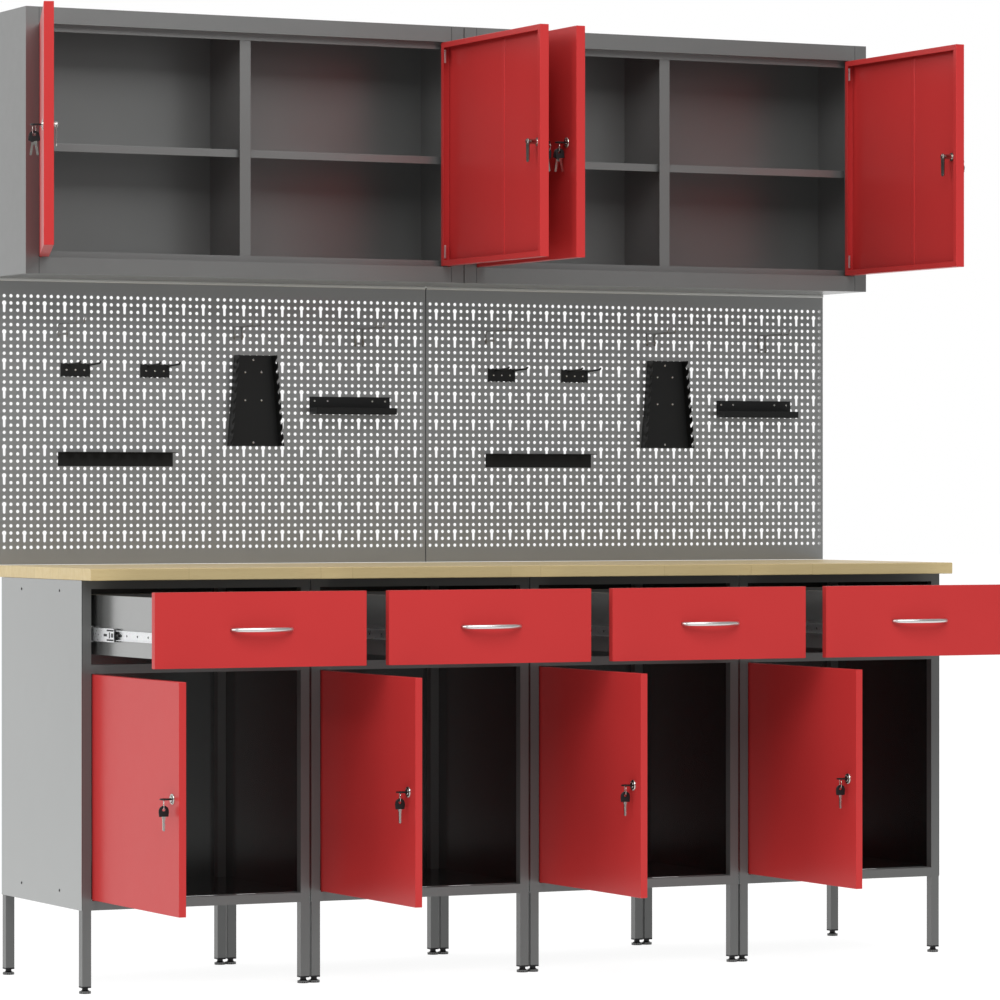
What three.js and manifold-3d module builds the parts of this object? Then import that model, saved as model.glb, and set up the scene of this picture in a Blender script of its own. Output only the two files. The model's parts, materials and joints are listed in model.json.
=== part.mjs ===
// A garage workbench set: four drawer-and-door bench modules side by side, two perforated
// tool boards behind the worktops and two wall cabinets above them. Units are millimetres.
// While the pieces are made, X runs right from the bench's left end, Y runs back from the
// front of the bench frames, and Z runs up from the floor.
import * as THREE from 'three';
import { mergeVertices } from 'three/addons/utils/BufferGeometryUtils.js';
import Module from 'manifold-3d';

const wasm = await Module();
wasm.setup();

// ---- driving dimensions ------------------------------------------------------------------
const SHEET = 1.2;              // thickness of every folded sheet
const GAP = 0.3;                // clearance between pieces that touch on the real object
const PAST = 1;                 // how far a cutting solid reaches past the face that it opens
const MODULES = 4;              // bench modules
const MODULE_WIDTH = 500;
const FRAME_DEPTH = 450;
const FRAME_TOP = 823;
const CARCASS_BOTTOM = 165.5;
const SIDE_PLAY = 1;            // from a module's boundary to its side panel

const TUBE = 19;                // square tube of the bench frames
const TUBE_WALL = 1.5;
const FOOT_HEIGHT = 12;         // floor to the end of the leg tube
const FOOT_RADIUS = 12;
const FOOT_DISC = 5;            // thickness of the disc that stands on the floor
const FOOT_STEM_RADIUS = 5;
const FOOT_PLUG = [TUBE - 1, 6]; // width and height of the plug in the leg's end
const TOP_RAIL = [806, FRAME_TOP];
const MID_RAIL = [637, 655];
const LOW_RAIL = [CARCASS_BOTTOM, 184.5];

const WORKTOP_THICKNESS = 24;
const WORKTOP_OVERHANG = 52;    // in front of the frames
const WALL = 520;               // the wall that boards and cabinets hang on
const WORKTOP_ROUNDING = 1.5;

const DRAWER_OPEN = 324;        // how far the drawers stand out
const DRAWER_Z = [656.5, 804.5];
const FRONT_DEPTH = 15;         // folded depth of drawer fronts and bench doors
const PANEL_PLAY = 3;           // beside drawer fronts and bench doors
const BOX_LENGTH = 400;
const BOX_Z = [675, 794];
const BOX_HEM = [4, 8];         // thickness and height of the folded rim of a drawer box
const SLIDE_WIDTH = 13;         // room for a telescopic slide beside the box
const SLIDE_Z = 716;
const SLIDE_LENGTH = 330;
const SLIDE_HEIGHT = 27;
const SLIDE_DEPTH = 7;
const SLIDE_CLOSED_START = 50;  // front end of the middle member with the drawer shut

const HANDLE_HALF_LENGTH = 68.5;
const HANDLE_REACH = 27;
const HANDLE_BAR = 7;
const HANDLE_FOOT = 11;
const HANDLE_HEIGHT = 9;
const HANDLE_BEVEL = 1.5;

const DOOR_Z = [186, 635.5];
const DOOR_LIP = 12;            // inner flange folded round a door's edge
const PIN_RADIUS = 2;
const PIN_INSET = 3;            // pin axis from the hinge edge and from the front face
const PIN_LENGTH = 5;
const PIN_SIDES = 8;
const PIN_HOLE_RADIUS = 2.8;
const PIN_HOLE_DEPTH = 8;
const PIN_HOLE_PAST = 3;        // the hole starts this far outside the sheet's face
const DOOR_ANGLE = 90;          // how far the bench doors stand open

const CABINETS = 2;
const CABINET_WIDTH = 1000;
const CABINET_FRONT = 310;
const CABINET_Z = [1447, 1995];
const CABINET_TOP_RAIL = 34;
const CABINET_LOW_RAIL = 34;
const CABINET_SIDE_FLANGE = 30;
const CABINET_DOOR_DEPTH = 20;
const CABINET_DOOR_PLAY = 1.5;  // above and below the doors
const CABINET_SIDE_PLAY = 2;    // beside and between the doors
const STOP_LIP = 14;            // lip behind the doors that they close against
const CABINET_DOOR_ANGLES = [[110, 90], [90, 90]];   // left and right door of each cabinet
const DIVIDER_FLANGE = 25;
const SHELF_Z = 1718;
const SHELF_LIP = 16;
const SHELF_SETBACK = 10;       // shelf's front edge behind the divider's

const BOARD_FRONT = 500;
const BOARD_TOP = CABINET_Z[0] - 2;
const BOARD_PLAY = 1;

const LOCK_RADIUS = 6;
const LOCK_HOLE_RADIUS = 6.6;
const LOCK_NOSE = 4;            // plug in front of the door's face
const LOCK_TAIL = 3;            // plug behind the cam
const LOCK_SIDES = 16;
const CAM_WIDTH = 12;
const CAM_THICKNESS = 2.5;
const KEY_BLADE = [11, 7, 2.2]; // length, width and thickness of a key's blade
const KEY_BOW_RADIUS = 8;
// distance from the free edge, length of the cam, and the cam's depth behind the door's face
const BENCH_LOCK = { fromEdge: 33, cam: 45, camDepth: 21.5 };
const CABINET_LOCK = { fromEdge: 45, cam: 43, camDepth: 24.5 };

const WRENCH_RACK = { x: 591, top: 1292, height: 194, topWidth: 88, lowWidth: 121, flange: 28 };
const WRENCH_SLOTS = { count: 9, gap: 8, slope: -0.6, first: 0.7, rise: 6 };
const TOOL_RACK = { x: 275, top: 1084, width: 260, height: 30, depth: 30, holes: 9, holeRadius: 7 };
const TOOL_SHELF = { x: 818, top: 1205, width: 190, height: 38, depth: 38, lip: 14 };

// ---- colours -----------------------------------------------------------------------------
const paint = (name, color, roughness, metalness) =>
  new THREE.MeshStandardMaterial({ name, color, roughness, metalness });
const FRAME_GREY = paint('frame_grey', 0x585957, 0.45, 0.1);
const PANEL_GREY = paint('panel_grey', 0xa2a8a7, 0.45, 0.1);
const CABINET_GREY = paint('cabinet_grey', 0x6e6f6d, 0.45, 0.1);
const BOARD_GREY = paint('board_grey', 0x757570, 0.5, 0.1);
const RED = paint('red_paint', 0xb92f30, 0.4, 0.1);
const BEECH = paint('beech', 0xcdbd8e, 0.55, 0);
const ZINC = paint('zinc', 0xdfe2e4, 0.35, 0.9);
const SATIN_STEEL = paint('satin_steel', 0xb9bbbd, 0.3, 1);
const BLACK_STEEL = paint('black_steel', 0x222323, 0.5, 0.2);
const LOCK_STEEL = paint('lock_steel', 0x8b8c8e, 0.35, 1);

// ---- making and joining solids -----------------------------------------------------------
function toSolid(geometry) {
  const bare = geometry.clone();
  bare.deleteAttribute('normal');
  bare.deleteAttribute('uv');
  const merged = mergeVertices(bare, 1e-4);
  const vertProperties = new Float32Array(merged.attributes.position.array);
  const triVerts = new Uint32Array(merged.index.array);
  return new wasm.Manifold(new wasm.Mesh({ numProp: 3, vertProperties, triVerts }));
}

function toGeometry(solid) {
  const mesh = solid.getMesh();
  const flat = new THREE.BufferGeometry();
  flat.setAttribute('position', new THREE.BufferAttribute(new Float32Array(mesh.vertProperties), 3));
  flat.setIndex(new THREE.BufferAttribute(new Uint32Array(mesh.triVerts), 1));
  const faceted = flat.toNonIndexed();
  faceted.computeVertexNormals();
  return faceted;
}

// A box between two corners, given as one [low, high] pair for each axis.
function block([x0, x1], [y0, y1], [z0, z1]) {
  const geometry = new THREE.BoxGeometry(x1 - x0, y1 - y0, z1 - z0);
  return toSolid(geometry.translate((x0 + x1) / 2, (y0 + y1) / 2, (z0 + z1) / 2));
}

// A rod along 'x', 'y' or 'z' whose first end is centred on start.
function rod(radius, length, axis, start, sides = 12) {
  const geometry = new THREE.CylinderGeometry(radius, radius, length, sides);
  geometry.translate(0, length / 2, 0);
  if (axis === 'x') geometry.rotateZ(-Math.PI / 2);
  if (axis === 'z') geometry.rotateX(Math.PI / 2);
  return toSolid(geometry.translate(...start));
}

const join = (solids) => solids.reduce((whole, next) => whole.add(next));
const cut = (body, tools) => tools.reduce((rest, tool) => rest.subtract(tool), body);
const around = (centre, size) => [centre - size / 2, centre + size / 2];
const grow = (range, by) => [range[0] - by, range[1] + by];

function place(parent, name, solid, material) {
  const mesh = new THREE.Mesh(toGeometry(solid), material);
  mesh.name = name;
  parent.add(mesh);
  return mesh;
}

// ---- folded sheet panels, shared by drawer fronts and doors --------------------------------
// The panel's front face is at Y = 0 and it is hollow behind: a skin with folded edges.
function foldedPanel(width, height, depth) {
  const outer = block([0, width], [0, depth], [0, height]);
  const inside = block([SHEET, width - SHEET], [SHEET, depth + PAST], [SHEET, height - SHEET]);
  return outer.subtract(inside);
}

// The flange that is folded inwards round the back of a door.
function doorLip(width, height, depth) {
  const flange = block([0, width], [depth - SHEET, depth], [0, height]);
  const opening = block([DOOR_LIP, width - DOOR_LIP], [0, depth + PAST], [DOOR_LIP, height - DOOR_LIP]);
  return flange.subtract(opening);
}

// ---- bench module --------------------------------------------------------------------------
const LEG_LEFT = SIDE_PLAY + SHEET + GAP;                // a leg's outer face in its module
const INNER_LEFT = LEG_LEFT + TUBE;                      // a leg's inner face
const INNER_RIGHT = MODULE_WIDTH - INNER_LEFT;
const BACK_LEG = FRAME_DEPTH - SHEET - GAP - TUBE;       // front face of the rear legs

// The frame's bars as [x, y, z] ranges: posts, front rails, rear rails and side rails.
function frameBars() {
  const posts = [];
  const rails = [];
  const middle = [INNER_LEFT - TUBE_WALL, INNER_RIGHT + TUBE_WALL];
  for (const x of [LEG_LEFT, INNER_RIGHT]) {
    for (const y of [0, BACK_LEG]) {
      posts.push([[x, x + TUBE], [y, y + TUBE], [FOOT_HEIGHT, FRAME_TOP]]);
    }
    for (const z of [TOP_RAIL, LOW_RAIL]) {
      rails.push([[x, x + TUBE], [TUBE - TUBE_WALL, BACK_LEG + TUBE_WALL], z]);
    }
  }
  for (const z of [TOP_RAIL, MID_RAIL, LOW_RAIL]) rails.push([middle, [0, TUBE], z]);
  for (const z of [TOP_RAIL, LOW_RAIL]) rails.push([middle, [BACK_LEG, BACK_LEG + TUBE], z]);
  return { posts, rails };
}

function shrink([low, high], wall, ends) {
  return ends ? [low - ends, high + ends] : [low + wall, high - wall];
}

// The bore of a bar: inside its wall across, and past its ends along its own length.
function bore(bar, lengthwise, past) {
  return block(...bar.map((range, axis) => shrink(range, TUBE_WALL, axis === lengthwise ? past : 0)));
}

function foot(x, y) {
  const centre = [x + TUBE / 2, y + TUBE / 2];
  const [width, height] = FOOT_PLUG;
  const plugZ = [FOOT_HEIGHT, FOOT_HEIGHT + height];
  const plug = block(around(centre[0], width), around(centre[1], width), plugZ);
  const stem = rod(FOOT_STEM_RADIUS, FOOT_HEIGHT, 'z', [...centre, FOOT_DISC / 2], PIN_SIDES);
  return join([plug, stem, rod(FOOT_RADIUS, FOOT_DISC, 'z', [...centre, 0], 16)]);
}

// A hole for a hinge pin in the upper face (up = 1) or the lower face (up = -1) of a rail.
function hingeHole(x, y, face, up) {
  const start = up > 0 ? face + PIN_HOLE_PAST - PIN_HOLE_DEPTH : face - PIN_HOLE_PAST;
  return rod(PIN_HOLE_RADIUS, PIN_HOLE_DEPTH, 'z', [x, y, start], PIN_SIDES);
}

function benchFrame() {
  const { posts, rails } = frameBars();
  const bars = join([...posts, ...rails].map((bar) => block(...bar)));
  const bores = posts.map((bar) => bore(bar, 2, PAST));
  for (const bar of rails) {
    const lengths = bar.map(([low, high]) => high - low);
    bores.push(bore(bar, lengths.indexOf(Math.max(...lengths)), TUBE_WALL));
  }
  const pin = INNER_LEFT + PANEL_PLAY + PIN_INSET;
  const holes = [hingeHole(pin, PIN_INSET, LOW_RAIL[1], 1), hingeHole(pin, PIN_INSET, MID_RAIL[0], -1)];
  return cut(bars, [...bores, ...holes]).add(join(posts.map(([x, y]) => foot(x[0], y[0]))));
}

// Side panels, back and floor, folded from sheet. The floor goes between the posts, and its
// edges end inside the thickness of the panels that it is welded to.
function carcass() {
  const height = [CARCASS_BOTTOM, FRAME_TOP];
  const sides = [SIDE_PLAY, MODULE_WIDTH - SIDE_PLAY];
  const weld = SHEET / 2;
  const floorZ = [LOW_RAIL[1] + GAP, LOW_RAIL[1] + GAP + SHEET];
  const wrap = block(sides, [0, FRAME_DEPTH], height);
  const room = block(grow(sides, -SHEET), [-PAST, FRAME_DEPTH - SHEET], grow(height, PAST));
  return join([
    wrap.subtract(room),
    block([INNER_LEFT + GAP, INNER_RIGHT - GAP], [TUBE + GAP, FRAME_DEPTH - weld], floorZ),
    block(grow(sides, -weld), [TUBE + GAP, BACK_LEG - GAP], floorZ),
  ]);
}

function worktop() {
  const r = WORKTOP_ROUNDING;
  const width = MODULE_WIDTH - GAP - 2 * r;
  const depth = BOARD_FRONT - GAP + WORKTOP_OVERHANG - 2 * r;
  const outline = new THREE.Shape();
  outline.moveTo(0, 0).lineTo(width, 0).lineTo(width, depth).lineTo(0, depth).closePath();
  const bevel = { bevelThickness: r, bevelSize: r, bevelSegments: 2 };
  const geometry = new THREE.ExtrudeGeometry(outline, { depth: WORKTOP_THICKNESS - 2 * r, ...bevel });
  geometry.translate(GAP / 2 + r, r - WORKTOP_OVERHANG, FRAME_TOP + GAP + r);
  return toSolid(geometry);
}

// ---- drawer --------------------------------------------------------------------------------
const BOX_X = [INNER_LEFT + SLIDE_WIDTH, INNER_RIGHT - SLIDE_WIDTH];
const PANEL_LEFT = INNER_LEFT + PANEL_PLAY;
const PANEL_WIDTH = INNER_RIGHT - INNER_LEFT - 2 * PANEL_PLAY;

// The open-topped box, with a folded rim round its top. Its front wall is at Y = 0.
function drawerBox() {
  const y = [0, BOX_LENGTH];
  const [hem, rimHeight] = BOX_HEM;
  const rimLow = BOX_Z[1] - rimHeight;
  const room = block(grow(BOX_X, -SHEET), grow(y, -SHEET), [BOX_Z[0] + SHEET, rimLow]);
  const mouth = block(grow(BOX_X, -hem), grow(y, -hem), [rimLow - PAST, BOX_Z[1] + PAST]);
  return cut(block(BOX_X, y, BOX_Z), [room, mouth]);
}

function drawerFront() {
  return foldedPanel(PANEL_WIDTH, DRAWER_Z[1] - DRAWER_Z[0], FRONT_DEPTH);
}

// A bow handle: one flat arch between two elliptical arcs, with its feet at Y = 0.
function handle() {
  const outline = new THREE.Shape();
  const outer = HANDLE_HALF_LENGTH;
  const inner = HANDLE_HALF_LENGTH - HANDLE_FOOT;
  outline.moveTo(-outer, 0);
  outline.absellipse(0, 0, outer, HANDLE_REACH, Math.PI, 0, true);
  outline.lineTo(inner, 0);
  outline.absellipse(0, 0, inner, HANDLE_REACH - HANDLE_BAR, 0, Math.PI, false);
  const bevel = { bevelThickness: HANDLE_BEVEL, bevelSize: 1, bevelOffset: -1, bevelSegments: 1 };
  const settings = { depth: HANDLE_HEIGHT - 2 * HANDLE_BEVEL, curveSegments: 10, ...bevel };
  const geometry = new THREE.ExtrudeGeometry(outline, settings);
  return toSolid(geometry.translate(0, 0, HANDLE_BEVEL - HANDLE_HEIGHT / 2).rotateX(Math.PI));
}

// The middle member of a telescopic slide: a channel that opens towards +X.
function slideMember() {
  const z = around(SLIDE_Z, SLIDE_HEIGHT);
  const y = [0, SLIDE_LENGTH];
  const inner = block([SHEET, SLIDE_DEPTH + PAST], grow(y, PAST), grow(z, -SHEET));
  return block([0, SLIDE_DEPTH], y, z).subtract(inner);
}

// ---- doors and locks -------------------------------------------------------------------------
// A door's own frame has its hinge pin on the Z axis, its face at Y = -PIN_INSET and, on a
// left-hinged door, its width along +X. hand is 1 for a left hinge and -1 for a right hinge.
function door({ width, z, depth, hand, lock }) {
  const height = z[1] - z[0];
  const lockX = width - lock.fromEdge;
  const panel = foldedPanel(width, height, depth).add(doorLip(width, height, depth));
  const hole = rod(LOCK_HOLE_RADIUS, SHEET + 2 * PAST, 'y', [lockX, -PAST, height / 2], LOCK_SIDES);
  const pins = [-PIN_LENGTH, height - SHEET / 2].map((low) =>
    rod(PIN_RADIUS, PIN_LENGTH + SHEET / 2, 'z', [PIN_INSET, PIN_INSET, low], PIN_SIDES));
  const body = cut(panel, [hole]).add(join(pins)).translate([-PIN_INSET, -PIN_INSET, z[0]]);
  return hand > 0 ? body : body.mirror([1, 0, 0]);
}

// Cylinder, cam and key turn as one. The lock's axis is Y, its key is on the -Y side, and its
// cam hangs down: turned to the side it reaches behind the frame or the divider.
function lockPlug({ cam: camLength, camDepth }) {
  const camY = [camDepth, camDepth + CAM_THICKNESS];
  const plug = rod(LOCK_RADIUS, LOCK_NOSE + camY[1] + LOCK_TAIL, 'y', [0, -LOCK_NOSE, 0], LOCK_SIDES);
  const cam = block(around(0, CAM_WIDTH), camY, [-camLength, 0]);
  const [length, width, thickness] = KEY_BLADE;
  const tip = -LOCK_NOSE - length;
  const blade = block(around(0, width), [tip, PAST - LOCK_NOSE], around(0, thickness));
  const bow = rod(KEY_BOW_RADIUS, thickness, 'z', [0, tip - 0.75 * KEY_BOW_RADIUS, -thickness / 2]);
  return join([plug, cam, blade, bow]);
}

// Hangs a door and its lock on a pin, turned to the angle that it stands open.
function hangDoor(parent, names, spec, [x, y], angle) {
  const hinge = new THREE.Group();
  hinge.position.set(x, y, 0);
  hinge.rotation.z = THREE.MathUtils.degToRad(-spec.hand * angle);
  place(hinge, names[0], door(spec), RED);
  const lock = place(hinge, names[1], lockPlug(spec.lock), LOCK_STEEL);
  const reach = spec.hand * (spec.width - spec.lock.fromEdge - PIN_INSET);
  lock.position.set(reach, -PIN_INSET, (spec.z[0] + spec.z[1]) / 2);
  parent.add(hinge);
}

function benchModule(index) {
  const group = new THREE.Group();
  const n = index + 1;
  group.position.x = index * MODULE_WIDTH;
  place(group, `frame_${n}`, benchFrame(), FRAME_GREY);
  place(group, `carcass_${n}`, carcass(), PANEL_GREY);
  place(group, `worktop_${n}`, worktop(), BEECH);

  const drawer = new THREE.Group();
  drawer.position.y = -DRAWER_OPEN;
  group.add(drawer);
  place(drawer, `drawer_box_${n}`, drawerBox(), PANEL_GREY).position.y = FRONT_DEPTH + GAP;
  place(drawer, `drawer_front_${n}`, drawerFront(), RED).position.set(PANEL_LEFT, 0, DRAWER_Z[0]);
  const grip = place(drawer, `drawer_handle_${n}`, handle(), SATIN_STEEL);
  grip.position.set(MODULE_WIDTH / 2, -GAP, (DRAWER_Z[0] + DRAWER_Z[1]) / 2);

  const slideY = SLIDE_CLOSED_START - DRAWER_OPEN / 2;
  const slideX = INNER_LEFT + (SLIDE_WIDTH - SLIDE_DEPTH) / 2;
  place(group, `slide_left_${n}`, slideMember(), ZINC).position.set(slideX, slideY, 0);
  const right = place(group, `slide_right_${n}`, slideMember().mirror([1, 0, 0]), ZINC);
  right.position.set(MODULE_WIDTH - slideX, slideY, 0);

  const spec = { width: PANEL_WIDTH, z: DOOR_Z, depth: FRONT_DEPTH, hand: 1, lock: BENCH_LOCK };
  const pin = [PANEL_LEFT + PIN_INSET, PIN_INSET];
  hangDoor(group, [`door_${n}`, `door_lock_${n}`], spec, pin, DOOR_ANGLE);
  return group;
}

// ---- wall cabinet ------------------------------------------------------------------------------
const STOP_Y = CABINET_FRONT + CABINET_DOOR_DEPTH + 1;   // face that the shut doors rest against
const CABINET_X = [SIDE_PLAY, CABINET_WIDTH - SIDE_PLAY];
const MOUTH_X = [CABINET_SIDE_FLANGE, CABINET_WIDTH - CABINET_SIDE_FLANGE];
const MOUTH_Z = [CABINET_Z[0] + CABINET_LOW_RAIL, CABINET_Z[1] - CABINET_TOP_RAIL];

function cabinetShell() {
  const innerY = [CABINET_FRONT + SHEET, WALL - SHEET];
  const inner = block(grow(CABINET_X, -SHEET), innerY, grow(CABINET_Z, -SHEET));
  const shell = block(CABINET_X, [CABINET_FRONT, WALL], CABINET_Z).subtract(inner);
  // the returns run back from the mouth to the stop lips
  const returns = block(grow(MOUTH_X, SHEET), [CABINET_FRONT, STOP_Y + SHEET], grow(MOUTH_Z, SHEET));
  const mouth = block(MOUTH_X, [CABINET_FRONT - PAST, STOP_Y], MOUTH_Z);
  const wayBack = STOP_Y + SHEET + PAST;
  const way = block(grow(MOUTH_X, -STOP_LIP), [CABINET_FRONT, wayBack], grow(MOUTH_Z, -STOP_LIP));
  const holes = [];
  for (const x of grow(MOUTH_X, -CABINET_SIDE_PLAY - PIN_INSET)) {
    holes.push(hingeHole(x, CABINET_FRONT + PIN_INSET, MOUTH_Z[0], 1));
    holes.push(hingeHole(x, CABINET_FRONT + PIN_INSET, MOUTH_Z[1], -1));
  }
  return cut(shell.add(returns), [mouth, way, ...holes]);
}

// A divider in the middle and a shelf on each side of it, made as one cross.
function cabinetShelves() {
  const middle = CABINET_WIDTH / 2;
  const inside = grow(CABINET_Z, -SHEET - GAP);
  const front = STOP_Y + SHEET + GAP;
  const back = WALL - SHEET - GAP;
  const width = grow(CABINET_X, -SHEET - GAP);
  const shelfFront = front + SHELF_SETBACK;
  return join([
    block(around(middle, SHEET), [front, back], inside),
    block(around(middle, DIVIDER_FLANGE), [front, front + SHEET], inside),
    block(width, [shelfFront, back], [SHELF_Z - SHEET, SHELF_Z]),
    block(width, [shelfFront, shelfFront + SHEET], [SHELF_Z - SHELF_LIP, SHELF_Z]),
  ]);
}

function wallCabinet(index) {
  const group = new THREE.Group();
  const n = index + 1;
  group.position.x = index * CABINET_WIDTH;
  place(group, `wall_cabinet_${n}`, cabinetShell(), CABINET_GREY);
  place(group, `cabinet_shelves_${n}`, cabinetShelves(), CABINET_GREY);
  const width = (MOUTH_X[1] - MOUTH_X[0] - 3 * CABINET_SIDE_PLAY) / 2;
  const z = grow(MOUTH_Z, -CABINET_DOOR_PLAY);
  for (const [side, hand] of [['left', 1], ['right', -1]]) {
    const names = [`cabinet_door_${side}_${n}`, `cabinet_lock_${side}_${n}`];
    const spec = { width, z, depth: CABINET_DOOR_DEPTH, hand, lock: CABINET_LOCK };
    const edge = hand > 0 ? MOUTH_X[0] : MOUTH_X[1];
    const pin = [edge + hand * (CABINET_SIDE_PLAY + PIN_INSET), CABINET_FRONT + PIN_INSET];
    hangDoor(group, names, spec, pin, CABINET_DOOR_ANGLES[index][hand > 0 ? 0 : 1]);
  }
  return group;
}

// ---- tool board and what hangs on it -------------------------------------------------------------
function toolBoard() {
  const x = [BOARD_PLAY, CABINET_WIDTH - BOARD_PLAY];
  const z = [FRAME_TOP + WORKTOP_THICKNESS + 2 * GAP, BOARD_TOP];
  const outer = block(x, [BOARD_FRONT, WALL], z);
  return outer.subtract(block(grow(x, -SHEET), [BOARD_FRONT + SHEET, WALL + PAST], grow(z, -SHEET)));
}

// A plate of the given outline in X and Z that ends against the board.
function plate(points, thickness) {
  const outline = new THREE.Shape(points.map(([x, z]) => new THREE.Vector2(x, z)));
  const geometry = new THREE.ExtrudeGeometry(outline, { depth: thickness, bevelEnabled: false });
  return toSolid(geometry.rotateX(Math.PI / 2)).translate([0, BOARD_FRONT - GAP, 0]);
}

// A tapering back plate whose side flanges are cut into a comb of slots that slope down.
function wrenchRack() {
  const { x, top, height, topWidth, lowWidth, flange } = WRENCH_RACK;
  const back = [[-lowWidth / 2, top - height], [lowWidth / 2, top - height],
    [topWidth / 2, top], [-topWidth / 2, top]];
  const solids = [plate(back.map(([px, pz]) => [x + px, pz]), SHEET)];
  const taper = (lowWidth - topWidth) / 2 / height;
  const { count, gap, slope, first, rise } = WRENCH_SLOTS;
  for (const hand of [-1, 1]) {
    const edge = (z) => x + hand * (topWidth / 2 + (top - z) * taper);
    const low = top - height;
    const strip = [[edge(low), low], [edge(top), top],
      [edge(top) - hand * SHEET, top], [edge(low) - hand * SHEET, low]];
    let comb = plate(hand > 0 ? strip : strip.reverse(), flange);
    for (let slot = 0; slot < count; slot += 1) {
      const z = top - height * (slot + first) / count;
      const notch = new THREE.BoxGeometry(10 * SHEET, flange, gap).rotateX(slope);
      comb = comb.subtract(toSolid(notch.translate(edge(z), BOARD_FRONT - flange - PAST, z + rise)));
    }
    solids.push(comb);
  }
  return join(solids);
}

// A rack for drivers: a back plate and a flange along its top with a row of holes.
function toolRack() {
  const { x, top, width, height, depth, holes, holeRadius } = TOOL_RACK;
  const across = around(x, width);
  const back = BOARD_FRONT - GAP;
  const outer = block(across, [back - depth, back], [top - height, top]);
  const underFlange = [top - height - PAST, top - SHEET];
  const below = block(grow(across, PAST), [back - depth - PAST, back - SHEET], underFlange);
  const pitch = width / holes;
  const bores = [];
  for (let hole = 0; hole < holes; hole += 1) {
    const centre = [across[0] + (hole + 0.5) * pitch, back - depth / 2, top - SHEET - PAST];
    bores.push(rod(holeRadius, SHEET + 2 * PAST, 'z', centre));
  }
  return cut(outer, [below, ...bores]);
}

// A shallow open tray: a back plate, a floor, an upright lip and two low ends.
function toolShelf() {
  const { x, top, width, height, depth, lip } = TOOL_SHELF;
  const across = around(x, width);
  const low = top - height;
  const back = BOARD_FRONT - GAP;
  const inside = [back - depth + SHEET, back - SHEET];
  const outer = block(across, [back - depth, back], [low, top]);
  const room = block(grow(across, -SHEET), inside, [low + SHEET, top + PAST]);
  const above = block(grow(across, PAST), [back - depth - PAST, back - SHEET], [low + lip, top + PAST]);
  return cut(outer, [room, above]);
}

function boardWithTools(index) {
  const group = new THREE.Group();
  const n = index + 1;
  group.position.x = index * CABINET_WIDTH;
  place(group, `tool_board_${n}`, toolBoard(), BOARD_GREY);
  place(group, `wrench_rack_${n}`, wrenchRack(), BLACK_STEEL);
  place(group, `tool_rack_${n}`, toolRack(), BLACK_STEEL);
  place(group, `tool_shelf_${n}`, toolShelf(), BLACK_STEEL);
  return group;
}

// ---- the whole set -------------------------------------------------------------------------------
const bench = new THREE.Group();
for (let index = 0; index < MODULES; index += 1) bench.add(benchModule(index));
for (let index = 0; index < CABINETS; index += 1) {
  bench.add(boardWithTools(index));
  bench.add(wallCabinet(index));
}

// The origin is on the floor in the middle of the area that the open set takes up.
const extent = new THREE.Box3().setFromObject(bench, true);
const middle = extent.getCenter(new THREE.Vector3());
bench.position.set(-middle.x, -middle.y, 0);

export default bench;
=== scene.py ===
"""Looks for the garage workbench set: materials, folded edges, perforation, locks, slides and feet.

Places are given in the bench frame, in millimetres: X runs right from the bench's left end, Y runs
back from the front of the bench frames and Z runs up from the floor. at() turns them into the
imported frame, in metres.
"""
import json
import math

import bmesh
import bpy
from mathutils import Matrix, Vector


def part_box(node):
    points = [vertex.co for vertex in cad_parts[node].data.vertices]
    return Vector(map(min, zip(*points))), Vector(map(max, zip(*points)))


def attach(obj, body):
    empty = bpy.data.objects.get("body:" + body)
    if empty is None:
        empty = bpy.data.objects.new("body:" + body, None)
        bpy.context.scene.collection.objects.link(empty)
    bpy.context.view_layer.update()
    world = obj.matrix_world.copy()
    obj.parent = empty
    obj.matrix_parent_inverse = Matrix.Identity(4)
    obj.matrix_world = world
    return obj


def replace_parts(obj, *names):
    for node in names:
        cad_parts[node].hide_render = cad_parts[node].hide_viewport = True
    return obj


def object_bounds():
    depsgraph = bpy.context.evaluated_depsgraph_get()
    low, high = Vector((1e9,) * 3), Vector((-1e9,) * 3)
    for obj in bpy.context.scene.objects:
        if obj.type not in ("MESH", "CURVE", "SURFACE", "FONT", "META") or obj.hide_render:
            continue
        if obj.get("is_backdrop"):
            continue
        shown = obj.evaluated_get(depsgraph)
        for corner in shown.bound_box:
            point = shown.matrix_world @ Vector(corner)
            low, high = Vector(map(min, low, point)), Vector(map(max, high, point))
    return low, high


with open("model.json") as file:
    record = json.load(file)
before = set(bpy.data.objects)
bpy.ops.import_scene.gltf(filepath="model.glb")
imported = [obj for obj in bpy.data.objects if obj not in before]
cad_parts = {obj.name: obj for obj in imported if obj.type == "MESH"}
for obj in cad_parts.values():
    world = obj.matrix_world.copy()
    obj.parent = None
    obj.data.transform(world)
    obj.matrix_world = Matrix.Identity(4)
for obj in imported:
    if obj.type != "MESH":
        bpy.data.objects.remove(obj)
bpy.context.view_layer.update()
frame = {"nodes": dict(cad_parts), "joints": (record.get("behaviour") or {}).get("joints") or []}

# ---- sizes, in millimetres -----------------------------------------------------------------------
MM = 0.001
SHEET = 1.2                       # thickness of the folded sheet
SIDE_PLAY = 1                     # from the bench's left end to the first side panel
MODULES = 4
MODULE_WIDTH = 500
CABINETS = 2
CABINET_WIDTH = 1000
LEG = 19                          # square leg tube
LEG_LEFT = 2.5                    # outer face of a module's left legs
FOOT_TOP = 12
SLIDE_Z = 716                     # middle of the drawer slides
DRAWER_OPEN = 324                 # how far the drawers stand out at rest
MEMBER_LENGTH = 400               # of a slide's member on the drawer
FRONT_DEPTH = 15                  # of a drawer front
BOARD_FRONT = 500                 # front of the tool boards
WALL = 520                        # back of the tool boards, on the wall
BOARD_Z = (847.9, 1445)

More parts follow.
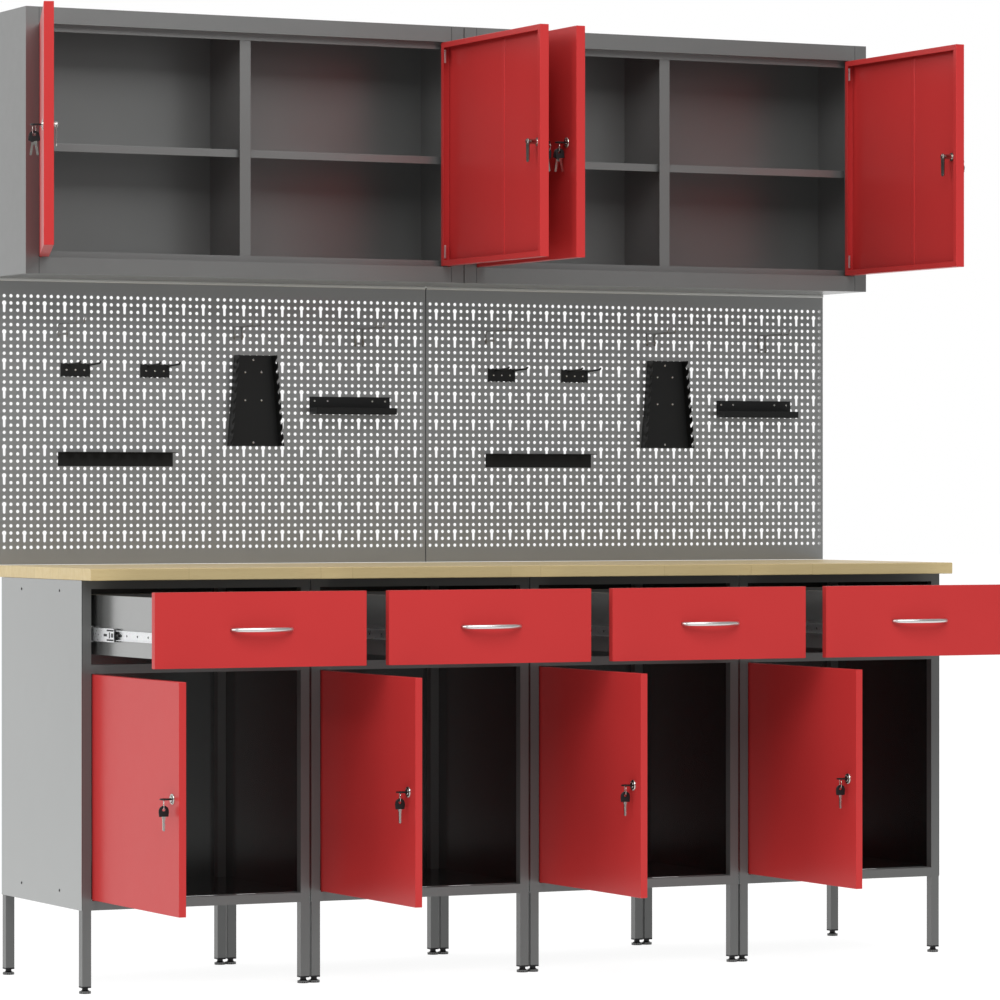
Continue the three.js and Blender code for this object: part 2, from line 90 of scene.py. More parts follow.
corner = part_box("carcass_1")[0]
ORIGIN = Vector((corner.x - SIDE_PLAY * MM, corner.y, 0))
UP = Vector((0, 0, 1))
JOINTS = {joint["name"]: joint for joint in frame["joints"]}


def at(x, y, z):
    """A point of the bench frame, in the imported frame."""
    return ORIGIN + Vector((x, y, z)) * MM


# ---- camera --------------------------------------------------------------------------------------
CAMERA_AT = (-3530.0, -8945.5, 991.4)
CAMERA_YAW = 26.506               # degrees that the camera looks to the right of straight ahead
CAMERA_LENS = 173.353
CAMERA_SHIFT = -0.00404           # sets the horizon slightly off the middle of the frame

camera = bpy.data.objects.new("camera", bpy.data.cameras.new("camera"))
bpy.context.scene.collection.objects.link(camera)
camera.location = at(*CAMERA_AT)
camera.rotation_euler = (math.radians(90), 0, math.radians(-CAMERA_YAW))
camera.data.lens = CAMERA_LENS
camera.data.sensor_width = 36
camera.data.shift_y = CAMERA_SHIFT
camera.data.clip_end = 200
bpy.context.scene.camera = camera

# ---- node helpers --------------------------------------------------------------------------------


class Look:
    """A material under construction: a Principled shader and short ways to add nodes to it."""

    def __init__(self, name, color, roughness, metallic=0.0, **sockets):
        self.material = bpy.data.materials.new(name)
        self.material.use_nodes = True
        self.tree = self.material.node_tree
        self.shader = self.tree.nodes["Principled BSDF"]
        self.set(self.shader, "Base Color", (*color, 1))
        self.set(self.shader, "Roughness", roughness)
        self.set(self.shader, "Metallic", metallic)
        for socket, value in sockets.items():
            self.set(self.shader, socket.replace("_", " "), value)
        self.place = self.node("ShaderNodeTexCoord").outputs["Object"]

    def node(self, kind, **settings):
        node = self.tree.nodes.new(kind)
        for key, value in settings.items():
            setattr(node, key, value)
        return node

    def set(self, node, socket, value):
        """Gives a socket a constant, or links another node's output to it."""
        target = node.inputs[socket]
        if isinstance(value, bpy.types.NodeSocket):
            self.tree.links.new(value, target)
        else:
            target.default_value = value

    def math(self, operation, a, b=0.0):
        node = self.node("ShaderNodeMath", operation=operation)
        self.set(node, 0, a)
        self.set(node, 1, b)
        return node.outputs[0]

    def stretched(self, scale):
        """Object coordinates scaled differently along each axis."""
        node = self.node("ShaderNodeMapping")
        self.set(node, "Vector", self.place)
        self.set(node, "Scale", scale)
        return node.outputs[0]

    def axes(self):
        """The object coordinates, one output for each axis."""
        node = self.node("ShaderNodeSeparateXYZ")
        self.set(node, 0, self.place)
        return node.outputs

    def noise(self, scale, detail=3.0, vector=None, roughness=0.55):
        node = self.node("ShaderNodeTexNoise")
        self.set(node, "Vector", vector or self.place)
        self.set(node, "Scale", scale)
        self.set(node, "Detail", detail)
        self.set(node, "Roughness", roughness)
        return node.outputs[0]

    def spread(self, value, low, high, start=0.3, end=0.7):
        """Maps a noise value from its middle range to low..high."""
        node = self.node("ShaderNodeMapRange")
        self.set(node, "Value", value)
        self.set(node, "From Min", start)
        self.set(node, "From Max", end)
        self.set(node, "To Min", low)
        self.set(node, "To Max", high)
        return node.outputs[0]

    def mix(self, factor, a, b, blend="MIX"):
        node = self.node("ShaderNodeMix", data_type="RGBA", blend_type=blend)
        self.set(node, "Factor", factor)
        colours = [s for s in node.inputs if s.type == "RGBA"]
        for target, value in zip(colours, (a, b)):
            if isinstance(value, bpy.types.NodeSocket):
                self.tree.links.new(value, target)
            else:
                target.default_value = (*value[:3], 1)
        return [s for s in node.outputs if s.type == "RGBA"][0]

    def bump(self, height, strength, distance):
        node = self.node("ShaderNodeBump")
        self.set(node, "Height", height)
        self.set(node, "Strength", strength)
        self.set(node, "Distance", distance)
        self.set(self.shader, "Normal", node.outputs[0])

    def colour(self, value):
        self.set(self.shader, "Base Color", value)

    def rough(self, value):
        self.set(self.shader, "Roughness", value)


def shade(color, factor):
    return tuple(min(1.0, c * factor) for c in color)


# ---- materials -----------------------------------------------------------------------------------
INSIDE_SHADE = 0.42                     # brightness of the painted shade inside the cupboards, as a share of the paint's


def painted_shade_inside(look, color):
    """The carcass's colour: full paint outside, darkened inside the cupboards as painted shade."""
    place = look.axes()
    from_left = look.math("SUBTRACT", place[0], ORIGIN.x)
    x = look.math("FLOORED_MODULO", from_left, MODULE_WIDTH * MM)
    edge = (SIDE_PLAY + SHEET / 2) * MM
    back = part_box("carcass_1")[1].y - SHEET / 2 * MM
    right_of = look.math("GREATER_THAN", x, edge)
    left_of = look.math("LESS_THAN", x, MODULE_WIDTH * MM - edge)
    in_front = look.math("LESS_THAN", place[1], back)
    inside = look.math("MULTIPLY", look.math("MULTIPLY", right_of, left_of), in_front)
    # painted shade: the colour is darkened wherever the mask lies inside a cupboard
    return look.mix(inside, color, shade(color, INSIDE_SHADE))


def powder_coat(name, color, roughness, metallic=0.0, gloss=0.5, base=None):
    """Sprayed powder paint: slightly uneven, with a fine orange-peel surface and faint rubbed spots.
    The grey paint is full of metal flakes, so that it mirrors more than plain paint does."""
    look = Look(name, color, roughness, metallic, Coat_Weight=0.6 * metallic, Coat_Roughness=0.2,
                Specular_IOR_Level=gloss)
    # base, where given, darkens the colour by place: for the carcass it is the painted shade inside the
    # cupboards
    plain = base(look, color) if base else color
    cloud = look.mix(look.spread(look.noise(2.3, 4.0), 0.0, 1.0), (0.95, 0.95, 0.95), (1.0, 1.0, 1.0))
    look.colour(look.mix(1.0, plain, cloud, "MULTIPLY"))
    rubs = look.spread(look.noise(5.0, 6.0, roughness=0.7), 0.0, 0.015, 0.6, 0.75)
    uneven = look.spread(look.noise(38, 4.0), roughness - 0.02, roughness + 0.02)
    look.rough(look.math("ADD", uneven, rubs))
    look.bump(look.noise(500, 2.0), 0.06, 0.0001)
    return look.material


STAVE_LENGTH, STAVE_WIDTH = 0.36, 0.044
STAVE_PALE = (0.61, 0.49, 0.26)
STAVE_DEEP = (0.56, 0.445, 0.23)
GLUE_LINE = (0.38, 0.28, 0.13)
GRAIN = (0.50, 0.37, 0.17)
PORES = (0.36, 0.24, 0.10)


def beech(name):
    """Glued staves of pale beech, with fine grain along them and a satin varnish."""
    look = Look(name, (0.6, 0.5, 0.27), 0.42)
    staves = look.node("ShaderNodeTexBrick", offset=0.37, squash=1.0)
    for socket, value in (("Vector", look.place), ("Scale", 1.0), ("Mortar Size", 0.0004),
                          ("Mortar Smooth", 0.3), ("Brick Width", STAVE_LENGTH),
                          ("Row Height", STAVE_WIDTH), ("Color1", (*STAVE_PALE, 1)),
                          ("Color2", (*STAVE_DEEP, 1)), ("Mortar", (*GLUE_LINE, 1))):
        look.set(staves, socket, value)
    grain = look.noise(1.0, 7.0, look.stretched((3.2, 105, 60)), 0.62)
    streaked = look.mix(look.spread(grain, 0.0, 0.5), staves.outputs["Color"], GRAIN)
    pores = look.noise(1.0, 3.0, look.stretched((42, 1100, 700)))
    look.colour(look.mix(look.spread(pores, 0.0, 0.22, 0.56, 0.72), streaked, PORES))
    look.rough(look.spread(grain, 0.36, 0.5))
    look.bump(look.math("ADD", grain, pores), 0.25, 0.0002)
    return look.material


def plated(name, color, roughness, cell):
    """Zinc or nickel plating: faint crystal spangle, uneven gloss."""
    look = Look(name, color, roughness, 1.0)
    spangle = look.node("ShaderNodeTexVoronoi")
    look.set(spangle, "Vector", look.place)
    look.set(spangle, "Scale", cell)
    tone = look.mix(0.12, color, spangle.outputs["Color"], "OVERLAY")
    look.colour(look.mix(look.spread(look.noise(60, 4.0), 0.0, 0.25), tone, shade(color, 0.8)))
    look.rough(look.spread(look.noise(160, 3.0), roughness - 0.06, roughness + 0.1))
    look.bump(look.noise(700, 2.0), 0.15, 0.00008)
    return look.material


def brushed(name, color, roughness):
    """Satin nickel with fine brushing along X."""
    look = Look(name, color, roughness, 1.0)
    lines = look.noise(1.0, 3.0, look.stretched((60, 5200, 5200)))
    look.colour(look.mix(look.spread(lines, 0.0, 0.35), color, shade(color, 0.78)))
    look.rough(look.spread(lines, roughness - 0.05, roughness + 0.12))
    look.bump(lines, 0.2, 0.00004)
    return look.material


def moulded(name, color, roughness):
    """Moulded plastic with a fine grained skin and slightly polished patches."""
    look = Look(name, color, roughness, Specular_IOR_Level=0.3)
    look.colour(look.mix(look.spread(look.noise(25, 4.0), 0.0, 1.0), color, shade(color, 1.5)))
    look.rough(look.spread(look.noise(14, 3.0), roughness - 0.1, roughness + 0.06))
    look.bump(look.noise(2600, 2.0), 0.3, 0.00006)
    return look.material


FLAKES = 0.78                     # how metallic the grey paint is
FRAME_PAINT = powder_coat("frame_paint", (0.125, 0.128, 0.126), 0.32, 0.3)
# the carcass's colour carries painted shade inside the cupboards
CARCASS_PAINT = powder_coat("carcass_paint", (0.30, 0.31, 0.305), 0.22, 0.96, 0.5, painted_shade_inside)
DRAWER_PAINT = powder_coat("drawer_paint", (0.305, 0.31, 0.305), 0.22, FLAKES)
CABINET_PAINT = powder_coat("cabinet_paint", (0.185, 0.188, 0.185), 0.36, 0.5)
BOARD_PAINT = powder_coat("board_paint", (0.35, 0.355, 0.353), 0.3, FLAKES)
# the board's top hem is painted lighter than the board as a painted highlight on its rounded edge
HEM_HIGHLIGHT_PAINT = powder_coat("hem_painted_highlight", (0.62, 0.63, 0.62), 0.3, 0.3)
RED_PAINT = powder_coat("red_paint", (0.50, 0.033, 0.033), 0.3, 0.0, 0.22)
BLACK_PAINT = powder_coat("black_paint", (0.005, 0.0055, 0.0055), 0.45, 0.0, 0.28)
BEECH = beech("beech")
ZINC = plated("zinc_plate", (0.82, 0.83, 0.84), 0.3, 260)
NICKEL = plated("polished_nickel", (0.52, 0.51, 0.48), 0.16, 900)
SATIN = brushed("satin_nickel", (0.72, 0.71, 0.70), 0.28)
HOOK_WIRE = brushed("hook_wire", (0.30, 0.30, 0.30), 0.4)
BLACK_PLASTIC = moulded("black_plastic", (0.005, 0.005, 0.0055), 0.42)
# near black, painted as shadow in the cabinets' seams and in the slides' fixing holes; the side panels'
# rivets take it too
SEAM_SHADOW = moulded("seam_shadow", (0.03, 0.03, 0.03), 0.7)


# ---- mesh helpers --------------------------------------------------------------------------------
def piece(name, mesh, material, body, smooth=False):
    """Turns a bmesh or a mesh into a finished piece that rides on a body."""
    if isinstance(mesh, bmesh.types.BMesh):
        bmesh.ops.recalc_face_normals(mesh, faces=mesh.faces)
        data = bpy.data.meshes.new(name)
        mesh.to_mesh(data)
        mesh.free()
    else:
        data = mesh
    data.materials.append(material)
    for polygon in data.polygons:
        polygon.use_smooth = smooth
    made = bpy.data.objects.new(name, data)
    bpy.context.scene.collection.objects.link(made)
    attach(made, body)
    return made


def round_edges(mesh, verts, width, segments=2):
    """Rounds every edge that ends at one of the vertices."""
    edges = dict.fromkeys(edge for vert in verts for edge in vert.link_edges)
    bmesh.ops.bevel(mesh, geom=list(edges), offset=width * MM, offset_type="OFFSET",
                    segments=segments, profile=0.5, affect="EDGES", clamp_overlap=True)


def soft_block(mesh, low, high, bevel=0.5, segments=2):
    """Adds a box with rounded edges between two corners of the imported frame."""
    middle, size = Matrix.Translation((low + high) / 2), Matrix.Diagonal((*(high - low), 1))
    made = bmesh.ops.create_cube(mesh, size=1, matrix=middle @ size)
    round_edges(mesh, made["verts"], bevel, segments)


def bridge(mesh, first, second):
    """Joins two closed rings with as many vertices."""
    for step in range(len(first)):
        after = (step + 1) % len(first)
        mesh.faces.new([first[step], first[after], second[after], second[step]])


def spokes(axis, sides):
    """Unit vectors square to a unit vector, all the way round it."""
    side = axis.orthogonal().normalized()
    other = axis.cross(side)
    angles = [2 * math.pi * step / sides for step in range(sides)]
    return [side * math.cos(angle) + other * math.sin(angle) for angle in angles]


def turned(mesh, profile, start, axis, sides=24):
    """Adds a solid of revolution. profile is a list of (radius, distance along the axis) in
    millimetres that starts and ends on the axis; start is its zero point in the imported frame."""
    axis = Vector(axis).normalized()
    rings = []
    for radius, along in profile:
        centre = start + axis * along * MM
        points = [centre + spoke * radius * MM for spoke in spokes(axis, sides)] if radius else [centre]
        rings.append([mesh.verts.new(point) for point in points])
    for first, second in zip(rings, rings[1:]):
        for step in range(sides):
            after = (step + 1) % sides
            corners = [first[step % len(first)], first[after % len(first)],
                       second[after % len(second)], second[step % len(second)]]
            mesh.faces.new(list(dict.fromkeys(corners)))


def turned_ring(mesh, profile, start, axis, sides=28):
    """Adds a ring of revolution whose profile closes on itself, off the axis."""
    axis = Vector(axis).normalized()
    rings = [[mesh.verts.new(start + (spoke * radius + axis * along) * MM) for radius, along in profile]
             for spoke in spokes(axis, sides)]
    for first, second in zip(rings, rings[1:] + rings[:1]):
        bridge(mesh, first, second)


def swept(mesh, path, section, ups=None, closed=False):
    """Adds a tube of the given section, a function of the share of the path that returns (side, up)
    offsets in millimetres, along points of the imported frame."""
    count = len(path)
    rings = []
    for index, point in enumerate(path):
        if closed:
            ahead = path[(index + 1) % count] - path[index - 1]
        else:
            ahead = path[min(index + 1, count - 1)] - path[max(index - 1, 0)]
        ahead.normalize()
        up = Vector(ups[index] if ups else (0, 0, 1))
        side = ahead.cross(up).normalized()
        up = side.cross(ahead).normalized()
        share = index / max(1, count - 1)
        rings.append([mesh.verts.new(point + (side * s + up * u) * MM) for s, u in section(share)])
    if not closed:
        mesh.faces.new(rings[0][::-1])
        mesh.faces.new(rings[-1])
    for first, second in zip(rings, rings[1:] + (rings[:1] if closed else [])):
        bridge(mesh, first, second)


def oval(wide, tall, sides):
    """Points on an ellipse, given as half its width and half its height."""
    angles = [2 * math.pi * step / sides for step in range(sides)]
    return [(wide * math.cos(angle), tall * math.sin(angle)) for angle in angles]


def round_section(radius, sides=8):
    return lambda share: oval(radius, radius, sides)


def prism(mesh, outline, origin, across, up, depth, thickness, bevel=0.0):
    """Adds a plate: an outline in (across, up) millimetres, thickness millimetres along depth."""
    across, up, depth = Vector(across), Vector(up), Vector(depth)
    front = [mesh.verts.new(origin + (across * a + up * u) * MM) for a, u in outline]
    made = bmesh.ops.extrude_face_region(mesh, geom=[mesh.faces.new(front)])
    verts = [item for item in made["geom"] if isinstance(item, bmesh.types.BMVert)]
    bmesh.ops.translate(mesh, vec=depth * thickness * MM, verts=verts)
    if bevel:
        round_edges(mesh, front + verts, bevel)


def arc(centre, radius, start, end, steps):
    """Points on an arc, in degrees."""
    angles = [math.radians(start + (end - start) * step / steps) for step in range(steps + 1)]
    return [(centre[0] + radius * math.cos(angle), centre[1] + radius * math.sin(angle))
            for angle in angles]


# ---- CAD nodes that stay: better materials and rounded folds -------------------------------------
FOLD_ANGLE = 40                   # degrees from which an edge counts as folded


def finish_node(name, material, slot, fold=0.0):
    """Gives a CAD node its material, and rounds its folded edges by modifiers only."""
    target = frame["nodes"][name]
    target.data.materials.clear()
    target.data.materials.append(material)
    if fold:
        weld = target.modifiers.new("weld", "WELD")
        weld.merge_threshold = 1e-5
        bevel = target.modifiers.new("fold", "BEVEL")
        bevel.width = fold * MM
        bevel.segments = 2
        bevel.limit_method = "ANGLE"
        bevel.angle_limit = math.radians(FOLD_ANGLE)


# kind of node, material, slot and radius of the folds
MODULE_NODES = (("frame", FRAME_PAINT, "frame_paint", 0.9), ("carcass", CARCASS_PAINT, "panel_paint"),
                ("worktop", BEECH, "beech"), ("drawer_box", DRAWER_PAINT, "panel_paint", 0.5),
                ("drawer_front", RED_PAINT, "red_paint", 0.8), ("slide_left", ZINC, "zinc", 0.3),
                ("slide_right", ZINC, "zinc", 0.3), ("door", RED_PAINT, "red_paint", 0.8))
CABINET_NODES = (("wall_cabinet", CABINET_PAINT, "cabinet_paint", 0.5),
                 ("cabinet_shelves", CABINET_PAINT, "cabinet_paint", 0.5),
                 ("wrench_rack", BLACK_PAINT, "black_paint", 0.3),
                 ("tool_rack", BLACK_PAINT, "black_paint", 0.3),
                 ("tool_shelf", BLACK_PAINT, "black_paint", 0.3),
                 ("cabinet_door_left", RED_PAINT, "red_paint", 0.8),
                 ("cabinet_door_right", RED_PAINT, "red_paint", 0.8))
for count, kinds in ((MODULES, MODULE_NODES), (CABINETS, CABINET_NODES)):
    for n in range(1, count + 1):
        for kind, *look_and_fold in kinds:
            finish_node(f"{kind}_{n}", *look_and_fold)


# ---- feet ----------------------------------------------------------------------------------------
FOOT_PROFILE = [(0, 0), (11.1, 0), (11.9, 0.8), (11.9, 3.2), (10.9, 4.6), (7.4, 6.2), (6.2, 7.4),
                (6.2, FOOT_TOP), (0, FOOT_TOP)]
CAP_LOW = FOOT_TOP - 0.6          # the plastic cap round the end of a leg
CAP_HEIGHT = 3.4
CAP_HALF = LEG / 2 + 0.25
BACK_LEG = 429.5                  # front of the back legs

for n in range(MODULES):
    feet = bmesh.new()
    for x in (LEG_LEFT + LEG / 2, MODULE_WIDTH - LEG_LEFT - LEG / 2):
        for y in (LEG / 2, BACK_LEG + LEG / 2):
            centre = at(n * MODULE_WIDTH + x, y, 0)
            turned(feet, FOOT_PROFILE, centre, UP)
            low = centre + Vector((-CAP_HALF, -CAP_HALF, CAP_LOW)) * MM
            high = centre + Vector((CAP_HALF, CAP_HALF, CAP_LOW + CAP_HEIGHT)) * MM
            soft_block(feet, low, high, 0.7)
    piece(f"feet_{n + 1}", feet, BLACK_PLASTIC, "bench")


# ---- perforated boards ---------------------------------------------------------------------------
PITCH = 15                        # of the perforation
COLUMNS = 33
ROWS = 36
FIELD_LEFT = (3.1, 501.9)         # left edges of the two perforated fields of a board
FIELD_LOW = 876.6
HOLE_RADIUS = 3.7
KEY_EVERY = (3, 4)                # every third column and fourth row is a keyhole
KEY_HEAD_RADIUS = 5.1
KEY_SLOT_HALF = 3.0
KEY_LENGTH = 25
HOLE_STEPS = 12                   # points round a hole
QUARTER = HOLE_STEPS // 4
EDGE_ROUND = 0.8


def square_ring(x, z):
    """Points on the edge of a perforation cell, as many as the hole has, in turning order."""
    points = []
    for dx, dz in hole_ring(0, 0):
        reach = PITCH / 2 / max(abs(dx), abs(dz))
        points.append((x + dx * reach, z + dz * reach))
    return points


def hole_ring(x, z):
    return arc((x, z), HOLE_RADIUS, 45, 405, HOLE_STEPS)[:-1]


def tall_ring(x, z):
    """The edge of a keyhole's cell, which is two cells tall: z is the centre of the upper one."""
    upper, lower = square_ring(x, z), square_ring(x, z - PITCH)
    # the upper cell without its bottom side, then the lower cell without its top side
    return upper[:2 * QUARTER + 1] + lower[QUARTER + 1:] + lower[:1]


def keyhole_ring(x, z):
    """A round head with a slot below it, with as many points as tall_ring returns."""
    half, head = KEY_SLOT_HALF, KEY_HEAD_RADIUS
    neck = math.sqrt(head ** 2 - half ** 2)
    low = z + head - KEY_LENGTH + half
    top = arc((x, z), head, 45, 135, QUARTER)
    left = arc((x, z), head, 135, 180 + math.degrees(math.asin(neck / head)), QUARTER)[1:]
    foot = [(x - half, low)] + arc((x, low), half, 200, 340, QUARTER) + [(x + half, low)]
    right = [(2 * x - a, b) for a, b in left[::-1]]
    return top + left + foot + right


def is_keyhole(column, row):
    return column % KEY_EVERY[0] == 1 and row % KEY_EVERY[1] == 1


class Plate:
    """A flat plate with holes, in the plane of a board, collected as vertices and faces."""

    def __init__(self, front, back):
        self.points, self.faces, self.known = [], [], {}
        self.front, self.back = front, back

    def vertex(self, x, y, z):
        key = (round(x, 3), round(y, 3), round(z, 3))
        if key not in self.known:
            self.known[key] = len(self.points)
            self.points.append(at(x, y, z))
        return self.known[key]

    def both(self, ring):
        """One face on the front and its twin on the back."""
        self.faces.append([self.vertex(x, self.front, z) for x, z in ring])
        self.faces.append([self.vertex(x, self.back, z) for x, z in ring[::-1]])

    def band(self, outer, inner):
        """Faces between two rings with as many points, on both sides, and the inner ring's wall."""
        for k in range(len(outer)):
            m = (k + 1) % len(outer)
            self.both([outer[k], outer[m], inner[m], inner[k]])
            (x0, z0), (x1, z1) = inner[k], inner[m]
            self.faces.append([self.vertex(x0, self.front, z0), self.vertex(x1, self.front, z1),
                               self.vertex(x1, self.back, z1), self.vertex(x0, self.back, z0)])


def cell_breaks(low, count):
    """Where the cell edges' points lie along one axis."""
    offset = PITCH / 2 * math.tan(math.radians(360 / HOLE_STEPS / 2))
    breaks = []
    for k in range(count):
        middle = low + (k + 0.5) * PITCH
        breaks += [low + k * PITCH, middle - offset, middle + offset]
    return breaks + [low + count * PITCH]


def perforated_board(index):
    left = index * CABINET_WIDTH
    plate = Plate(BOARD_FRONT, BOARD_FRONT + SHEET)
    x_edges = (left + SIDE_PLAY + EDGE_ROUND, left + CABINET_WIDTH - SIDE_PLAY - EDGE_ROUND)
    z_edges = (BOARD_Z[0] + EDGE_ROUND, BOARD_Z[1] - EDGE_ROUND)
    z_field = cell_breaks(FIELD_LOW, ROWS)
    x_all, gaps = [x_edges[0]], []
    for field in FIELD_LEFT:
        x_field = cell_breaks(left + field, COLUMNS)
        gaps.append((x_all[-1], x_field[0]))
        x_all += x_field
        for column in range(COLUMNS):
            x = left + field + (column + 0.5) * PITCH
            for row in range(ROWS):
                z = FIELD_LOW + (ROWS - row - 0.5) * PITCH
                if is_keyhole(column, row):
                    plate.band(tall_ring(x, z), keyhole_ring(x, z))
                elif not is_keyhole(column, row - 1):
                    plate.band(square_ring(x, z), hole_ring(x, z))
    gaps.append((x_all[-1], x_edges[1]))
    x_all.append(x_edges[1])
    for low, high in gaps:
        for z0, z1 in zip(z_field, z_field[1:]):
            plate.both([(low, z0), (high, z0), (high, z1), (low, z1)])
    for z0, z1 in ((z_edges[0], z_field[0]), (z_field[-1], z_edges[1])):
        for x0, x1 in zip(x_all, x_all[1:]):
            plate.both([(x0, z0), (x1, z0), (x1, z1), (x0, z1)])
    return plate, x_all, [z_edges[0]] + z_field + [z_edges[1]]


def fold_rim(plate, xs, zs):
    """Rounds the plate's edge back into returns that end at the wall."""
    bottom = [(x, zs[0]) for x in xs[:-1]]
    right = [(xs[-1], z) for z in zs[:-1]]
    top = [(x, zs[-1]) for x in xs[:0:-1]]
    left = [(xs[0], z) for z in zs[:0:-1]]
    rim = bottom + right + top + left
    middle = ((xs[0] + xs[-1]) / 2, (zs[0] + zs[-1]) / 2)
    half = (middle[0] - xs[0], middle[1] - zs[0])

    def grown(point, by):
        moved = []
        for value, centre, reach in zip(point, middle, half):
            on_edge = abs(abs(value - centre) - reach) < 1e-6
            moved.append(value + math.copysign(by, value - centre) if on_edge else value)
        return moved

    # how far each edge of the rim lies outside the plate, and its Y
    fold = EDGE_ROUND * (1 - math.cos(math.radians(45)))
    steps = [(0, BOARD_FRONT), (EDGE_ROUND - fold, BOARD_FRONT + fold),
             (EDGE_ROUND, BOARD_FRONT + EDGE_ROUND), (EDGE_ROUND, WALL), (EDGE_ROUND - SHEET, WALL),
             (EDGE_ROUND - SHEET, BOARD_FRONT + SHEET)]
    for (grow_a, y_a), (grow_b, y_b) in zip(steps, steps[1:]):
        for a, b in zip(rim, rim[1:] + rim[:1]):
            corners = []
            turns = ((a, grow_a, y_a), (a, grow_b, y_b), (b, grow_b, y_b), (b, grow_a, y_a))
            for point, grow, y in turns:
                x, z = grown(point, grow)
                corners.append(plate.vertex(x, y, z))
            plate.faces.append(corners)


for index in range(CABINETS):
    plate, xs, zs = perforated_board(index)
    fold_rim(plate, xs, zs)
    data = bpy.data.meshes.new(f"perforated_board_{index + 1}")
    data.from_pydata(plate.points, [], plate.faces)
    data.update()
    board = piece(f"perforated_board_{index + 1}", data, BOARD_PAINT, "bench")
    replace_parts(board, f"tool_board_{index + 1}")


# ---- drawer handles ------------------------------------------------------------------------------
HANDLE_Z = 730.5
HANDLE_SPAN = 62.5                # half the distance between the middles of the handle's feet
HANDLE_REACH = 23.4               # from the drawer front to the middle of the bow
HANDLE_STEPS = 28


def handle_section(share):
    """Oval, and flatter and broader towards the middle of the bow."""
    middle = math.sin(math.pi * share)
    return oval(5.2 - 1.9 * middle, 4.1 + 0.3 * middle, 14)


for n in range(MODULES):
    bow = bmesh.new()
    path = []
    for step in range(HANDLE_STEPS + 1):
        angle = math.pi * (1 - step / HANDLE_STEPS)
        path.append(at((n + 0.5) * MODULE_WIDTH + HANDLE_SPAN * math.cos(angle),
                       -DRAWER_OPEN - 0.4 - HANDLE_REACH * math.sin(angle), HANDLE_Z))
    swept(bow, path, handle_section)
    grip = piece(f"bow_handle_{n + 1}", bow, SATIN, f"drawer_{n + 1}", True)
    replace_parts(grip, f"drawer_handle_{n + 1}")


# ---- drawer slides -------------------------------------------------------------------------------
# Y of both ends, X of the web's back and of the flanges' tips, and half the height
OUTER_MEMBER = ((16.5, 420), 21.8, 32.4, 15.8)
INNER_FRONT = FRONT_DEPTH + 1 - DRAWER_OPEN
INNER_MEMBER = ((INNER_FRONT, INNER_FRONT - 1 + MEMBER_LENGTH), 34.2, 27.6, 10)
MEMBER_SHEET = 1.3
# a thin near-black disc painted on a slide member as the shade in a fixing hole
HOLE_SHADE_DISC = [(0, 0.05), (2.4, 0.05), (2.2, 0.4), (0, 0.3)]
HOLES_Y = (-270, -215, -160, -60, 20, 65)
SCREWS_Y = (30, 130, 260, 390)
CLIP_Y = -104                     # the black release lever on the drawer's member
MIDDLE_WEB = 24.5                 # outer face of the middle member's web
CAGE_Y = 50 - DRAWER_OPEN / 2     # front end of the middle member's ball cage
# places on the middle member, from its front end: Y, Z, length and height
RETAINER = ((2, 9.5, 34, 3.2), (2, -9.5, 34, 3.2), (4, 0, 9, 8), (20, 0, 4, 12), (36, 0, 16, 5))


def mirrored(n, hand, x):
    """X of a place x millimetres from a module's left end, or from its right end if hand is -1."""
    return n * MODULE_WIDTH + (x if hand > 0 else MODULE_WIDTH - x)


def channel(mesh, n, hand, ys, web, flange, half):
    """A C-shaped member of a slide."""
    inner = web + math.copysign(MEMBER_SHEET, flange - web)
    lip = half - MEMBER_SHEET
    outline = [(web, -half), (flange, -half), (flange, -lip), (inner, -lip),
               (inner, lip), (flange, lip), (flange, half), (web, half)]
    points = [(mirrored(n, hand, x), z + SLIDE_Z) for x, z in outline]
    prism(mesh, points, at(0, ys[0], 0), (1, 0, 0), UP, (0, 1, 0), ys[1] - ys[0])


def slide_block(mesh, n, hand, xs, ys, zs, bevel, segments=2):
    """A rounded block on a slide, with Z from the slide's middle."""
    xs = sorted(mirrored(n, hand, x) for x in xs)
    soft_block(mesh, at(xs[0], ys[0], SLIDE_Z + zs[0]), at(xs[1], ys[1], SLIDE_Z + zs[1]),
               bevel, segments)


def screw_head(mesh, centre, axis, radius, height):
    """A pan head with a round recess, standing on centre and facing along axis."""
    turned(mesh, [(0, 0), (radius, 0), (radius, height * 0.45), (radius * 0.8, height * 0.85),
                  (radius * 0.35, height), (radius * 0.3, height * 0.55), (0, height * 0.5)],
           centre, axis, 14)


